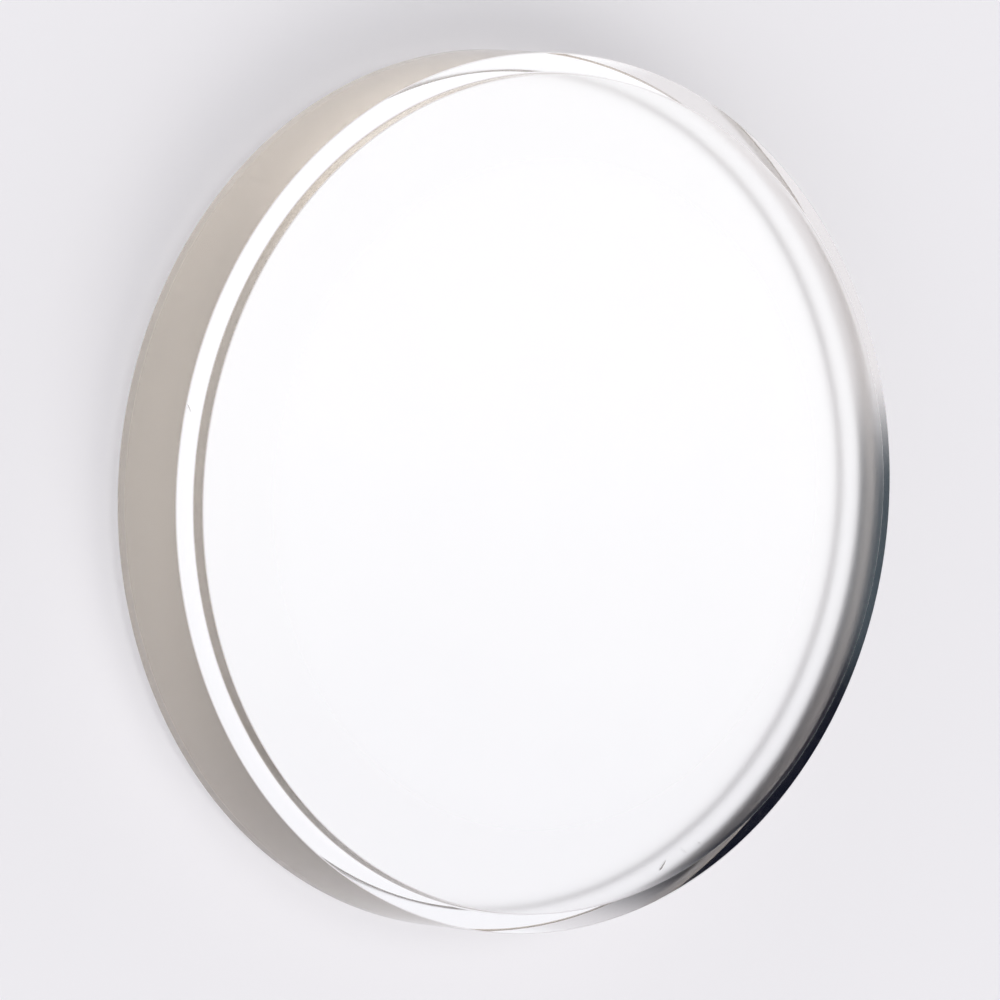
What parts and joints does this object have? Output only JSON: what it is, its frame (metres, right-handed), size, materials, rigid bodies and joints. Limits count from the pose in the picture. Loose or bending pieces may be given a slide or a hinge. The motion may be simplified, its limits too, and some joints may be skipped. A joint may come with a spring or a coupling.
{
  "type": "pmma milling block",
  "caption": "Clear acrylic blank for dental milling: a flat round disc with a thick collar and a slightly smaller raised face on each side.",
  "frame": {"origin": "centre of the lower face, which lies on z = 0", "axes": "+Z along the disc's axis, up out of the upper face; the disc is round, so +X and +Y are any two square directions in its plane"},
  "size_m": [0.098, 0.098, 0.015],
  "materials": {
    "clear_acrylic": "clear, colourless acrylic with polished faces and a finely turned rim"
  },
  "bodies": {
    "root": {"milling_disc": "clear_acrylic"}
  },
  "joints": []
}
